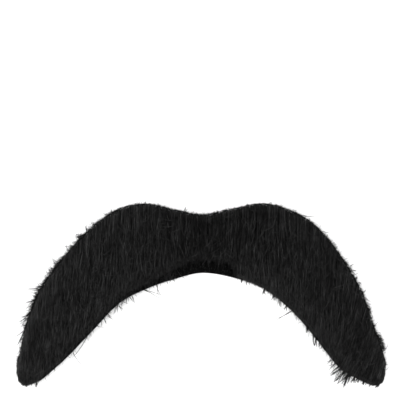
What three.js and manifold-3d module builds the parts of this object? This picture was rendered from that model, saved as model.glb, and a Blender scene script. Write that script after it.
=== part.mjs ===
// A false moustache of black fun fur, of the drooping kind that hangs past the corners of the mouth.
// It lies on its back with the hair up: X runs from one tip to the other, Y up the wearer's face and Z away
// from it. The origin is the middle of the sticking face, in the plane that the moustache rests on.
// All sizes are in millimetres.
import * as THREE from "three";
import { mergeVertices } from "three/addons/utils/BufferGeometryUtils.js";
import Module from "manifold-3d";

const wasm = await Module();
wasm.setup();

// The moustache's outline
const SPAN = 113; // from tip to tip
const DROP = 55.8; // from the top of the humps down to the tips

// The cloth that the hair grows from
const BACKING_THICKNESS = 1.2;
const ROLL = 0.5; // how far the hair rolls out past the cloth's upper edge

// The strip that sticks it to the lip
const STRIP_LENGTH = 54;
const STRIP_WIDTH = 10;
const STRIP_THICKNESS = 0.6;
const STRIP_CORNER = 2;

// How the pieces lie on each other and on the surface
const FIT_GAP = 0.3; // between the strip, the cloth and the hair
const DRAPE_MARGIN = 1.5; // the cloth stays raised this far past each end of the strip
const DRAPE = 17; // and then comes down to the surface over this length

// The hair
const HAIR_DEPTH = 4.6; // of the combed-down hair where it is deepest
const BARE_DEPTH = 3.4; // of the cloth left bare in the middle of the lower edge
const LOCK_PITCH = 3.5; // between neighbouring locks
const LOCK_WIDTH = 4.3;
const LOCK_LENGTH = 13;
const LOCK_PROUD = 0.9; // how far a lock stands above the hair around it
const LOCK_SUNK = 1; // and how far it reaches down into it
const ROOT_SUNK = 0.55; // how much deeper it lies at its root
const TIER_STEP = 7.5; // between one row of locks and the next
const ROOT_INSET = 1.2; // of the first row's roots from the upper edge
const SHORTEST_LOCK = 4.5;
const LONGEST_STRAY = 0.9; // how much the locks' ends differ along the lower edge

// How finely the pieces are faceted
const COLUMNS = 44;
const CROWN_ROWS = 6;
const LOCK_SIDES = 5;
const LOCK_STEPS = 4;
const CORNER_STEPS = 5;

// Both edges from tip to tip. across is a share of half the span, and upper and lower are the two edges'
// heights above the tips' lowest point, as shares of the drop.
const EDGES = [
  { across: -1.0, upper: 0.09, lower: 0.09 },
  { across: -0.985, upper: 0.17, lower: 0.023 },
  { across: -0.95, upper: 0.34, lower: 0.003 },
  { across: -0.91, upper: 0.455, lower: 0.014 },
  { across: -0.87, upper: 0.54, lower: 0.036 },
  { across: -0.75, upper: 0.703, lower: 0.142 },
  { across: -0.6, upper: 0.865, lower: 0.298 },
  { across: -0.45, upper: 0.97, lower: 0.452 },
  { across: -0.3, upper: 1.0, lower: 0.532 },
  { across: -0.15, upper: 0.968, lower: 0.585 },
  { across: 0.0, upper: 0.94, lower: 0.62 },
  { across: 0.17, upper: 0.973, lower: 0.595 },
  { across: 0.34, upper: 1.0, lower: 0.535 },
  { across: 0.5, upper: 0.955, lower: 0.405 },
  { across: 0.63, upper: 0.865, lower: 0.254 },
  { across: 0.75, upper: 0.72, lower: 0.103 },
  { across: 0.86, upper: 0.53, lower: 0.033 },
  { across: 0.94, upper: 0.31, lower: 0.003 },
  { across: 0.985, upper: 0.175, lower: 0.035 },
  { across: 1.0, upper: 0.1, lower: 0.1 },
];

// How the hair is combed and trimmed. lean is the way that it lies, in degrees from straight down towards
// +X. bare is the cloth left showing under its ends, as a share of BARE_DEPTH, and is negative where the hair
// hangs over the cloth's edge.
const COMB = [
  { across: -1.0, lean: -12, bare: 0.0 },
  { across: -0.85, lean: -8, bare: 0.12 },
  { across: -0.5, lean: -5, bare: 0.28 },
  { across: -0.24, lean: 0, bare: 0.22 },
  { across: -0.1, lean: 2, bare: 0.85 },
  { across: 0.0, lean: 0, bare: 1.0 },
  { across: 0.15, lean: -2, bare: 0.95 },
  { across: 0.2, lean: -2, bare: 0.1 },
  { across: 0.5, lean: -4, bare: 0.0 },
  { across: 0.7, lean: -12, bare: 0.0 },
  { across: 0.78, lean: -22, bare: -0.8 },
  { across: 0.85, lean: -32, bare: 0.0 },
  { across: 1.0, lean: -36, bare: 0.0 },
];

// The hair's depth from its roots at the upper edge to its ends at the lower one, as a share of HAIR_DEPTH
const CROWN = [
  { down: 0.0, depth: 0.35 },
  { down: 0.15, depth: 0.72 },
  { down: 0.4, depth: 0.96 },
  { down: 0.7, depth: 1.0 },
  { down: 0.9, depth: 0.86 },
  { down: 1.0, depth: 0.6 },
  { down: 1.3, depth: 0.35 },
];
const TIP_DEPTH = 0.62; // the hair's depth at the two tips, as a share of what it has in the middle

// A smooth curve through one column of a table, as cubics whose slopes are those between the rows on either
// side. place turns the table's first column into the length that the curve is drawn over.
function through(rows, key, column, place = (value) => value) {
  const at = rows.map((row) => place(row[key]));
  const height = rows.map((row) => row[column]);
  const last = rows.length - 1;
  const slope = height.map((_, i) => {
    const before = Math.max(i - 1, 0);
    const after = Math.min(i + 1, last);
    return (height[after] - height[before]) / (at[after] - at[before]);
  });
  return (value) => {
    const x = THREE.MathUtils.clamp(place(value), at[0], at[last]);
    const i = Math.min(at.filter((a) => a <= x).length - 1, last - 1);
    const step = at[i + 1] - at[i];
    const f = (x - at[i]) / step;
    return (
      (2 * f ** 3 - 3 * f ** 2 + 1) * height[i] +
      (f ** 3 - 2 * f ** 2 + f) * step * slope[i] +
      (3 * f ** 2 - 2 * f ** 3) * height[i + 1] +
      (f ** 3 - f ** 2) * step * slope[i + 1]
    );
  };
}

// The edges are drawn over the angle whose sine is across, so that they meet in a round tip.
const angleOf = (across) => Math.asin(THREE.MathUtils.clamp(across, -1, 1));
const upperShare = through(EDGES, "across", "upper", angleOf);
const lowerShare = through(EDGES, "across", "lower", angleOf);
const lean = through(COMB, "across", "lean");
const bare = through(COMB, "across", "bare");
const crown = through(CROWN, "down", "depth");

// The strip's middle lies in the middle of the band of cloth under the nose.
const MIDDLE = (upperShare(0) + lowerShare(0)) / 2;
const HALF_SPAN = SPAN / 2;
const upperEdge = (x) => (upperShare(x / HALF_SPAN) - MIDDLE) * DROP;
const lowerEdge = (x) => (lowerShare(x / HALF_SPAN) - MIDDLE) * DROP;
const hem = (x) => {
  const trimmed = lowerEdge(x) + Math.max(bare(x / HALF_SPAN), 0) * BARE_DEPTH;
  return Math.min(trimmed, upperEdge(x));
};

// The height of the cloth's underside: raised over the strip, and down on the surface at the wings.
function rest(x) {
  const past = Math.abs(x) - STRIP_LENGTH / 2 - DRAPE_MARGIN;
  return (STRIP_THICKNESS + FIT_GAP) * (1 - THREE.MathUtils.smoothstep(past, 0, DRAPE));
}
const hairFloor = (x) => rest(x) + BACKING_THICKNESS + FIT_GAP;

// The height of the hair's surface over a point, which may lie past the hair's ends.
function hairTop(x, y) {
  const top = upperEdge(x);
  const down = (top - y) / Math.max(top - hem(x), FIT_GAP);
  const thinning = 1 - (1 - TIP_DEPTH) * Math.abs(x / HALF_SPAN) ** 3;
  return hairFloor(x) + HAIR_DEPTH * crown(down) * thinning;
}

// Moves each vertex of a closed geometry by a rule, joins those that meet and drops the faces that closed up.
function shaped(geometry, place) {
  geometry.deleteAttribute("normal");
  geometry.deleteAttribute("uv");
  const position = geometry.getAttribute("position");
  for (let i = 0; i < position.count; i++) {
    const moved = place(position.getX(i), position.getY(i), position.getZ(i));
    position.setXYZ(i, ...moved);
  }
  const merged = mergeVertices(geometry, 1e-4);
  const corners = merged.index.array;
  const kept = [];
  for (let i = 0; i < corners.length; i += 3) {
    const [a, b, c] = corners.slice(i, i + 3);
    if (a !== b && b !== c && c !== a) kept.push(a, b, c);
  }
  merged.setIndex(kept);
  return merged;
}

const solidOf = (geometry) =>
  new wasm.Manifold(
    new wasm.Mesh({
      numProp: 3,
      vertProperties: new Float32Array(geometry.getAttribute("position").array),
      triVerts: new Uint32Array(geometry.index.array),
    }),
  );

function geometryOf(solid) {
  const mesh = solid.getMesh();
  const geometry = new THREE.BufferGeometry();
  geometry.setAttribute("position", new THREE.BufferAttribute(mesh.vertProperties, 3));
  geometry.setIndex(new THREE.BufferAttribute(mesh.triVerts, 1));
  return geometry;
}

// A wall between two edges, both functions of x, made of columns that crowd towards the round tips.
function wall(rows, halfSpan, upper, lower, underside, topside) {
  return shaped(new THREE.BoxGeometry(1, 1, 1, COLUMNS, rows, 1), (u, v, w) => {
    const across = Math.sin(u * Math.PI);
    const [top, bottom] = [upper(across), lower(across)];
    const [x, y] = [halfSpan * across, bottom + (v + 0.5) * (top - bottom)];
    return [x, y, w < 0 ? underside(x, y) : topside(x, y)];
  });
}

function backing() {
  const upper = (across) => upperEdge(across * HALF_SPAN) - ROLL * Math.cos(angleOf(across));
  const lower = (across) => lowerEdge(across * HALF_SPAN);
  return wall(1, HALF_SPAN - ROLL, upper, lower, rest, (x) => rest(x) + BACKING_THICKNESS);
}

function hairMat() {
  const upper = (across) => upperEdge(across * HALF_SPAN);
  const lower = (across) => hem(across * HALF_SPAN);
  return wall(CROWN_ROWS, HALF_SPAN, upper, lower, hairFloor, hairTop);
}

// A number from 0 to 1 that looks random and is the same each time for the same lock.
function varied(column, tier, salt) {
  const wave = Math.sin(column * 12.9898 + tier * 78.233 + salt * 37.719) * 43758.5453;
  return wave - Math.floor(wave);
}

// How far a lock can run from its root before it passes the hair's lower edge by more than stray.
function reach(x, y, angle, stray) {
  let length = y - hem(x);
  for (let pass = 0; pass < 6; pass++) {
    const endX = THREE.MathUtils.clamp(x + Math.sin(angle) * length, -HALF_SPAN, HALF_SPAN);
    const overhang = Math.max(-bare(endX / HALF_SPAN), 0) * BARE_DEPTH + stray;
    length = (y - hem(endX) + overhang) / Math.cos(angle);
  }
  return length;
}

// One lock: a cone laid along the hair, fullest in its middle and pointed at its end.
function lock(rootX, rootY, angle, length, width) {
  const along = new THREE.Vector2(Math.sin(angle), -Math.cos(angle));
  return shaped(new THREE.ConeGeometry(1, 1, LOCK_SIDES, LOCK_STEPS), (u, v, w) => {
    const f = v + 0.5; // the share of the way from its root to its end
    const middleX = rootX + along.x * f * length;
    const middleY = rootY + along.y * f * length;
    const fullness = Math.sqrt(Math.max(1 - f ** 3, 0)) * (0.7 + 0.3 * Math.sin(Math.PI * f));
    const around = Math.atan2(w, u);
    const shell = Math.hypot(u, w) > 1e-6 ? fullness : 0;
    const sideways = (Math.cos(around) * shell * width) / 2;
    const up = Math.sin(around) * shell;
    const rise = up * (up > 0 ? LOCK_PROUD : LOCK_SUNK) - ROOT_SUNK * Math.max(1 - 2 * f, 0);
    const height = Math.max(hairTop(middleX, middleY) + rise, hairFloor(middleX) + FIT_GAP);
    return [middleX + along.y * sideways, middleY - along.x * sideways, height];
  });
}

function locks() {
  const made = [];
  const count = Math.floor(SPAN / LOCK_PITCH);
  for (let column = 0; column < count; column++) {
    for (let tier = 0; ; tier++) {
      const stagger = tier % 2 ? LOCK_PITCH / 2 : 0;
      const x = (column + 0.5 - count / 2) * LOCK_PITCH + stagger;
      const across = x / HALF_SPAN;
      if (Math.abs(across) > 0.96) break;
      const slope = (upperEdge(x + FIT_GAP) - upperEdge(x - FIT_GAP)) / (2 * FIT_GAP);
      const y = upperEdge(x) - ROOT_INSET * Math.hypot(1, slope) - tier * TIER_STEP;
      const angle = THREE.MathUtils.degToRad(lean(across) + 8 * (varied(column, tier, 1) - 0.5));
      const free = reach(x, y, angle, LONGEST_STRAY * varied(column, tier, 2));
      if (free < SHORTEST_LOCK) break;
      const length = Math.min(free, LOCK_LENGTH * (0.9 + 0.2 * varied(column, tier, 3)));
      made.push(lock(x, y, angle, length, LOCK_WIDTH * (0.85 + 0.3 * varied(column, tier, 4))));
    }
  }
  return made;
}

// Any pocket that closes up between the locks is solid hair too, so only the outer surfaces are kept.
function hairPile() {
  const grown = wasm.Manifold.union([hairMat(), ...locks()].map(solidOf));
  const outer = grown.decompose().filter((body) => body.volume() > 0);
  return geometryOf(wasm.Manifold.union(outer));
}

function adhesiveStrip() {
  const [w, h, r] = [STRIP_LENGTH / 2, STRIP_WIDTH / 2, STRIP_CORNER];
  const outline = new THREE.Shape();
  outline.absarc(w - r, h - r, r, 0, Math.PI / 2);
  outline.absarc(r - w, h - r, r, Math.PI / 2, Math.PI);
  outline.absarc(r - w, r - h, r, Math.PI, 1.5 * Math.PI);
  outline.absarc(w - r, r - h, r, 1.5 * Math.PI, 2 * Math.PI);
  return new THREE.ExtrudeGeometry(outline, {
    depth: STRIP_THICKNESS,
    bevelEnabled: false,
    curveSegments: CORNER_STEPS,
  });
}

function piece(name, geometry, color, roughness) {
  const mesh = new THREE.Mesh(geometry, new THREE.MeshStandardMaterial({ color, roughness, metalness: 0 }));
  geometry.computeVertexNormals();
  mesh.name = name;
  return mesh;
}

const moustache = new THREE.Group();
moustache.add(
  piece("backing", backing(), 0x0d0d0d, 0.95),
  piece("hair_pile", hairPile(), 0x1c1c1c, 0.6),
  piece("adhesive_strip", adhesiveStrip(), 0xece7da, 0.7),
);

export default moustache;
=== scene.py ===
"""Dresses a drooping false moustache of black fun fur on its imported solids.

The moustache lies on its back with the hair up: X runs from tip to tip, Y up the wearer's face and Z away from it.
Every form is worked out in millimetres, and turned to metres where a mesh is made.
"""

import logging
import math
from collections.abc import Callable
from dataclasses import dataclass, field
from enum import Enum
from typing import NamedTuple

import bpy
import numpy as np
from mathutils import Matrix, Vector


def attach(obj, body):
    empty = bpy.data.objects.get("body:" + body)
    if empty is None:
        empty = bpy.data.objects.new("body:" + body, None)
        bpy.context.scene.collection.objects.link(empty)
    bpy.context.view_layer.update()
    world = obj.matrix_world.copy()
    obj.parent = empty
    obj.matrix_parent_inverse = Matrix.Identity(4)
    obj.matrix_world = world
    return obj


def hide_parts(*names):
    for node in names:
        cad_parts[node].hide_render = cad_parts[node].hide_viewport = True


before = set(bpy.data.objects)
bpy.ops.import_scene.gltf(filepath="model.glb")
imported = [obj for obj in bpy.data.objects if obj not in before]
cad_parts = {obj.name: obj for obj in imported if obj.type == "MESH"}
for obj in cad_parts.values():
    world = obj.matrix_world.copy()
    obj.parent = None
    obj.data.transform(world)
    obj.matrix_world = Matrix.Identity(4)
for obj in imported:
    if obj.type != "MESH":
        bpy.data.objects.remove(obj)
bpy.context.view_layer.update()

LOG = logging.getLogger("moustache")
MM = 0.001
# Steps that fill a square evenly: the first two inverse powers of the root of p^3 = p + 1.
EVEN_STEPS = (0.7548776662466927, 0.5698402909980532)
# How far round the half circle of the edge the rows of rim hairs and fuzz reach, in radians.
RIM_TURN = 1.53


class EdgeRow(NamedTuple):
    """Both edges at one place: across is a share of half the span, upper and lower are shares of the drop."""

    across: float
    upper: float
    lower: float


class CombRow(NamedTuple):
    """The comb and the trim at one place.

    lean is in degrees from straight down towards +X. bare is the cloth showing under the hair's ends as a share of
    the deepest bare band, negative where the hair hangs over the edge. ragged is how uneven its ends are, in mm. tone
    is how pale the hair is painted on the whole, from 0 to 1: a painted sheen, paler or darker in each stretch as the
    light falls on the lay of the pile. fuzz is how far loose hairs stand out of the upper edge, in mm.
    """

    across: float
    lean: float
    bare: float
    ragged: float
    tone: float
    fuzz: float


class CrownRow(NamedTuple):
    """The hair's depth at one share of the way from the upper edge to the lower one."""

    down: float
    depth: float


EDGES = (
    EdgeRow(-1.0, 0.09, 0.09),
    EdgeRow(-0.985, 0.17, 0.023),
    EdgeRow(-0.95, 0.34, 0.003),
    EdgeRow(-0.91, 0.455, 0.014),
    EdgeRow(-0.87, 0.54, 0.036),
    EdgeRow(-0.75, 0.703, 0.142),
    EdgeRow(-0.6, 0.865, 0.298),
    EdgeRow(-0.45, 0.97, 0.452),
    EdgeRow(-0.3, 1.0, 0.532),
    EdgeRow(-0.15, 0.968, 0.585),
    EdgeRow(0.0, 0.94, 0.62),
    EdgeRow(0.17, 0.973, 0.595),
    EdgeRow(0.34, 1.0, 0.535),
    EdgeRow(0.5, 0.955, 0.405),
    EdgeRow(0.63, 0.865, 0.254),
    EdgeRow(0.75, 0.72, 0.103),
    EdgeRow(0.86, 0.53, 0.033),
    EdgeRow(0.94, 0.31, 0.003),
    EdgeRow(0.985, 0.175, 0.035),
    EdgeRow(1.0, 0.1, 0.1),
)

COMB = (
    CombRow(-1.0, -12, -0.1, 0.3, 0.66, 0.4),
    CombRow(-0.85, -8, 0.14, 0.5, 0.68, 1.1),
    CombRow(-0.5, -5, 0.24, 0.55, 0.71, 0.45),
    CombRow(-0.24, 0, 0.5, 0.35, 0.52, 0.4),
    CombRow(-0.1, 2, 1.0, 0.6, 0.34, 0.35),
    CombRow(0.0, 0, 1.1, 0.6, 0.32, 0.3),
    CombRow(0.15, -2, 1.05, 0.55, 0.32, 0.35),
    CombRow(0.2, -2, 0.1, 0.35, 0.38, 0.35),
    CombRow(0.5, -2, 0.02, 0.55, 0.46, 0.42),
    CombRow(0.71, -5, 0.12, 0.85, 0.52, 0.6),
    CombRow(0.785, -14, 0.08, 1.0, 0.5, 0.8),
    CombRow(0.85, -31, 0.06, 0.7, 0.49, 1.05),
    CombRow(1.0, -24, -0.1, 0.3, 0.46, 0.2),
)

CROWN = (
    CrownRow(0.0, 0.35),
    CrownRow(0.15, 0.72),
    CrownRow(0.4, 0.96),
    CrownRow(0.7, 1.0),
    CrownRow(0.9, 0.86),
    CrownRow(1.0, 0.6),
    CrownRow(1.3, 0.35),
)


def column(rows: tuple[NamedTuple, ...], name: str) -> np.ndarray:
    """One named column of a table as an array."""
    return np.array([getattr(row, name) for row in rows], float)


def through(at: np.ndarray, height: np.ndarray, where: np.ndarray) -> np.ndarray:
    """A smooth curve through a table's rows.

    Between two rows it is the cubic whose slope at each row is that of the line between the rows on either side.

    Args:
        at: where the rows stand, rising.
        height: the curve's value at each row.
        where: the places to read it at, held to the table's ends.

    Returns:
        The curve's value at each place.
    """
    before = np.maximum(np.arange(len(at)) - 1, 0)
    after = np.minimum(np.arange(len(at)) + 1, len(at) - 1)
    slope = (height[after] - height[before]) / (at[after] - at[before])
    x = np.clip(where, at[0], at[-1])
    i = np.clip(np.searchsorted(at, x, side="right") - 1, 0, len(at) - 2)
    step = at[i + 1] - at[i]
    f = (x - at[i]) / step
    start = (2 * f**3 - 3 * f**2 + 1) * height[i] + (f**3 - 2 * f**2 + f) * step * slope[i]
    end = (3 * f**2 - 2 * f**3) * height[i + 1] + (f**3 - f**2) * step * slope[i + 1]
    return start + end


def smooth_step(share: np.ndarray) -> np.ndarray:
    """A step from 0 to 1 that starts and ends level: 3s^2 - 2s^3."""
    return share * share * (3 - 2 * share)


@dataclass(frozen=True)
class Form:
    """The moustache's form in millimetres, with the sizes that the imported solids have."""

    span: float = 113.0
    drop: float = 55.8
    cloth: float = 1.2
    roll: float = 0.5
    strip_length: float = 54.0
    strip_width: float = 10.0
    strip_thickness: float = 0.6
    strip_corner: float = 2.0
    fit_gap: float = 0.3
    drape_margin: float = 1.5
    drape: float = 17.0
    hair_depth: float = 4.6
    tip_depth: float = 0.62
    bare_depth: float = 3.4
    lean_at_top: float = 0.45
    lean_down: float = 0.65
    beside: float = 0.2

    @property
    def half(self) -> float:
        """Half the span."""
        return self.span / 2

    @property
    def middle(self) -> float:
        """The height of the band's middle under the nose, as a share of the drop."""
        return float(self._share("upper", np.zeros(1))[0] + self._share("lower", np.zeros(1))[0]) / 2

    def _share(self, name: str, x: np.ndarray) -> np.ndarray:
        """One edge's height as a share of the drop, drawn over the angle whose sine is across."""
        angle = np.arcsin(np.clip(x / self.half, -1, 1))
        return through(np.arcsin(column(EDGES, "across")), column(EDGES, name), angle)

    def upper(self, x: np.ndarray) -> np.ndarray:
        """The upper edge's y over x."""
        return (self._share("upper", x) - self.middle) * self.drop

    def lower(self, x: np.ndarray) -> np.ndarray:
        """The lower edge's y over x."""
        return (self._share("lower", x) - self.middle) * self.drop

    def comb(self, name: str, x: np.ndarray) -> np.ndarray:
        """One column of the comb's table over x."""
        return through(column(COMB, "across"), column(COMB, name), x / self.half)

    def down(self, x: np.ndarray, y: np.ndarray) -> np.ndarray:
        """How far down the hair a point lies, from 0 at the upper edge to 1 at the trimmed ends."""
        return (self.upper(x) - y) / np.maximum(self.upper(x) - self.hem(x), self.fit_gap)

    def lean(self, x: np.ndarray, y: np.ndarray) -> np.ndarray:
        """The comb's lean over a point, in radians: less of the table's near the upper edge and more lower down."""
        share = self.lean_at_top + self.lean_down * np.clip(self.down(x, y), 0, 1)
        return np.radians(self.comb("lean", x)) * share

    def hem(self, x: np.ndarray) -> np.ndarray:
        """The y of the hair's trimmed ends over the cloth."""
        trimmed = self.lower(x) + np.maximum(self.comb("bare", x), 0) * self.bare_depth
        return np.minimum(trimmed, self.upper(x))

    def ends(self, x: np.ndarray) -> np.ndarray:
        """The y that the hair's ends reach, past the cloth's edge where they hang over it."""
        return self.hem(x) - np.maximum(-self.comb("bare", x), 0) * self.bare_depth

    def held(self, x: np.ndarray) -> np.ndarray:
        """The places x, held to the span."""
        return np.clip(x, -self.half, self.half)

    def rest(self, x: np.ndarray) -> np.ndarray:
        """The height of the cloth's underside: raised over the strip, then a smooth step down to the surface."""
        past = np.clip((np.abs(x) - self.strip_length / 2 - self.drape_margin) / self.drape, 0, 1)
        return (self.strip_thickness + self.fit_gap) * (1 - smooth_step(past))

    def cloth_top(self, x: np.ndarray) -> np.ndarray:
        """The height of the cloth's upper face."""
        return self.rest(x) + self.cloth

    def depth(self, x: np.ndarray, y: np.ndarray) -> np.ndarray:
        """The combed hair's depth over a point: the crown's curve down the column, thinner towards the tips."""
        thinning = 1 - (1 - self.tip_depth) * np.minimum(np.abs(x / self.half), 1) ** 3
        return self.hair_depth * thinning * through(column(CROWN, "down"), column(CROWN, "depth"), self.down(x, y))

    def _normal(self, edge: Callable[[np.ndarray], np.ndarray], x: np.ndarray) -> tuple[np.ndarray, np.ndarray]:
        """The unit normal of an edge, on its upper side.

        Args:
            edge: the method that gives the edge's y.
            x: the places to find it at.

        Returns:
            Its x and y parts at each place.
        """
        low, high = self.held(x - self.beside), self.held(x + self.beside)
        slope = (edge(high) - edge(low)) / (high - low)
        length = np.hypot(1, slope)
        return -slope / length, 1 / length

    def outward(self, x: np.ndarray) -> tuple[np.ndarray, np.ndarray]:
        """The unit normal of the upper edge over x, away from the moustache, as its x and y parts."""
        return self._normal(self.upper, x)

    def downward(self, x: np.ndarray) -> tuple[np.ndarray, np.ndarray]:
        """The unit normal of the lower edge over x, away from the moustache, as its x and y parts."""
        nx, ny = self._normal(self.lower, x)
        return -nx, -ny


def linear(code: str) -> tuple[float, float, float, float]:
    """Turns an sRGB hex colour to the linear colour that a shader takes.

    Args:
        code: the colour, such as "#1c1c1c".

    Returns:
        Linear red, green, blue and an alpha of 1.
    """
    parts = [int(code[i : i + 2], 16) / 255 for i in (1, 3, 5)]
    red, green, blue = (c / 12.92 if c <= 0.04045 else ((c + 0.055) / 1.055) ** 2.4 for c in parts)
    return red, green, blue, 1.0


def add_node(tree: bpy.types.NodeTree, kind: str, inputs: dict | None = None, **settings: object) -> bpy.types.Node:
    """Adds a node with its settings and links.

    Args:
        tree: the material's or the world's node tree.
        kind: the node's Blender type.
        inputs: for a socket's name or number, a value, or the output socket that feeds it.
        settings: the node's own properties.

    Returns:
        The node.
    """
    made = tree.nodes.new(kind)
    for name, value in settings.items():
        setattr(made, name, value)
    for key, value in (inputs or {}).items():
        if isinstance(value, bpy.types.NodeSocket):
            tree.links.new(value, made.inputs[key])
        else:
            made.inputs[key].default_value = value
    return made


def new_material(name: str) -> tuple[bpy.types.Material, bpy.types.NodeTree]:
    """Makes an empty node material.

    Args:
        name: what it is made of.

    Returns:
        The material and its tree.
    """
    material = bpy.data.materials.new(name)
    material.use_nodes = True
    material.node_tree.nodes.clear()
    return material, material.node_tree


def surface(tree: bpy.types.NodeTree, inputs: dict) -> None:
    """Ends a material in one physical shader, whose inputs are given as add_node takes them."""
    shader = add_node(tree, "ShaderNodeBsdfPrincipled", inputs)
    add_node(tree, "ShaderNodeOutputMaterial", {"Surface": shader.outputs["BSDF"]})


@dataclass(frozen=True)
class ModacrylicFibre:
    """Black modacrylic pile hair, wet-spun in round filaments and dyed in the mass, then combed and steamed.

    To the eye it is a deep neutral black that shows grey only as long narrow glints along the combed hairs. Tone
    differs from hair to hair, as dye lots and wear do. The colour also carries painted light: the roots are painted
    darker as painted shade, and painted glints make each hair paler in places, glint_mm apart and unlike its
    neighbours'. Paler hairs are glossier.
    """

    dark: str = "#020202"
    pale: str = "#363636"
    roughness: float = 0.42
    tone_gloss: tuple[float, float] = (0.1, -0.08)
    ior: float = 1.52
    specular: float = 0.068
    sheen: tuple[float, float] = (0.2, 1.2)
    glint_mm: float = 1.5
    glint_noise: tuple[float, float] = (0.32, 0.68)
    glint_light: tuple[float, float] = (0.25, 1.75)
    unlike: float = 5.0

    def material(self) -> bpy.types.Material:
        """Builds the material, which reads each hair's own tone and the painted light at each place along it.

        Returns:
            The material.
        """
        material, tree = new_material("black modacrylic fibre")
        tone = add_node(tree, "ShaderNodeAttribute", attribute_name="tone").outputs["Fac"]
        light = add_node(tree, "ShaderNodeAttribute", attribute_name="light").outputs["Fac"]
        place = add_node(tree, "ShaderNodeTexCoord").outputs["Object"]
        own = add_node(tree, "ShaderNodeMath", {0: tone, 1: self.unlike}, operation="MULTIPLY")
        # Painted glints: noise that makes each hair's colour paler in places along its length.
        painted_glints = add_node(
            tree,
            "ShaderNodeTexNoise",
            {"Vector": place, "W": own.outputs[0], "Scale": 1 / (self.glint_mm * MM), "Detail": 1.0},
            noise_dimensions="4D",
        )
        ranges = {
            "glint": (painted_glints.outputs["Fac"], self.glint_noise, self.glint_light),
            "gloss": (tone, (0.0, 1.0), [self.roughness + change for change in self.tone_gloss]),
            "sheen": (light, (0.0, 1.0), [share * self.specular for share in self.sheen]),
        }
        mapped = {}
        for name, (value, given, wanted) in ranges.items():
            ends = {"From Min": given[0], "From Max": given[1], "To Min": wanted[0], "To Max": wanted[1]}
            mapped[name] = add_node(tree, "ShaderNodeMapRange", {"Value": value, **ends}).outputs["Result"]
        painted_light = add_node(tree, "ShaderNodeMath", {0: light, 1: mapped["glint"]}, operation="MULTIPLY")
        shown = add_node(tree, "ShaderNodeMath", {0: tone, 1: painted_light.outputs[0]}, operation="MULTIPLY")
        shades = {"Factor": shown.outputs[0], "A": linear(self.dark), "B": linear(self.pale)}
        colour = add_node(tree, "ShaderNodeMix", shades, data_type="RGBA")
        surface(
            tree,
            {
                "Base Color": colour.outputs["Result"],
                "Roughness": mapped["gloss"],
                "IOR": self.ior,
                "Specular IOR Level": mapped["sheen"],
            },
        )
        return material


@dataclass(frozen=True)
class KnittedPolyester:
    """The fur's ground cloth, weft-knitted from textured polyester and latex-backed, dyed black.

    It is matt and painted darker than the hair: its own black, with painted shade of the overhanging hair on it. It
    has columns of small V-shaped stitches that only show close to, their low parts painted darker as painted shade.
    """

    dark: str = "#020202"
    pale: str = "#0b0b0b"
    roughness: float = 0.9
    specular: float = 0.02
    wale_mm: float = 1.3
    course_mm: float = 1.0
    leg_lean: float = 1.4
    loop_depth: float = 0.35
    fuzz_mm: float = 1 / 2.6
    fuzz_share: float = 0.6
    shade_share: float = 0.6
    bump_mm: float = 0.12
    bump_strength: float = 0.7

    def material(self) -> bpy.types.Material:
        """Builds the material, from sums that each name an earlier one or a value.

        Each column of stitches is two legs that lean apart: |sin| of the place across a wale, times a cosine of the
        place along it that lags to both sides. Fine noise over it is the yarn's fuzz.

        Returns:
            The material.
        """
        material, tree = new_material("black knitted polyester")
        place = add_node(tree, "ShaderNodeTexCoord").outputs["Object"]
        parts = add_node(tree, "ShaderNodeSeparateXYZ", {0: place})
        scale = 1 / (self.fuzz_mm * MM)
        fuzz = add_node(tree, "ShaderNodeTexNoise", {"Vector": place, "Scale": scale, "Detail": 3.0})
        known = {"x": parts.outputs["X"], "y": parts.outputs["Y"], "noise": fuzz.outputs["Fac"]}
        for name, operation, first, second in (
            ("wales", "DIVIDE", "x", self.wale_mm * MM),
            ("across", "FRACT", "wales", 0.0),
            ("off", "SUBTRACT", "across", 0.5),
            ("aside", "ABSOLUTE", "off", 0.0),
            ("courses", "DIVIDE", "y", self.course_mm * MM),
            ("lag", "MULTIPLY", "aside", self.leg_lean),
            ("leaning", "ADD", "courses", "lag"),
            ("loop_turn", "MULTIPLY", "leaning", 2 * math.pi),
            ("loops", "COSINE", "loop_turn", 0.0),
            ("leg_turn", "MULTIPLY", "aside", 2 * math.pi),
            ("legs", "SINE", "leg_turn", 0.0),
            ("swing", "MULTIPLY", "loops", self.loop_depth),
            ("raised", "ADD", "swing", 1 - self.loop_depth),
            ("stitch", "MULTIPLY", "legs", "raised"),
            ("fuzz", "MULTIPLY", "noise", self.fuzz_share),
            ("height", "ADD", "stitch", "fuzz"),
            ("shade", "MULTIPLY", "height", self.shade_share),
        ):
            inputs = {0: known[first], 1: known.get(second, second)}
            known[name] = add_node(tree, "ShaderNodeMath", inputs, operation=operation).outputs[0]
        # Painted shade: the colour follows the stitches' height, darker in their low parts, with the yarn's fuzz.
        shades = {"Factor": known["shade"], "A": linear(self.dark), "B": linear(self.pale)}
        colour = add_node(tree, "ShaderNodeMix", shades, data_type="RGBA")
        relief = {"Height": known["height"], "Distance": self.bump_mm * MM, "Strength": self.bump_strength}
        surface(
            tree,
            {
                "Base Color": colour.outputs["Result"],
                "Normal": add_node(tree, "ShaderNodeBump", relief).outputs["Normal"],
                "Roughness": self.roughness,
                "Specular IOR Level": self.specular,
            },
        )
        return material


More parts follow.
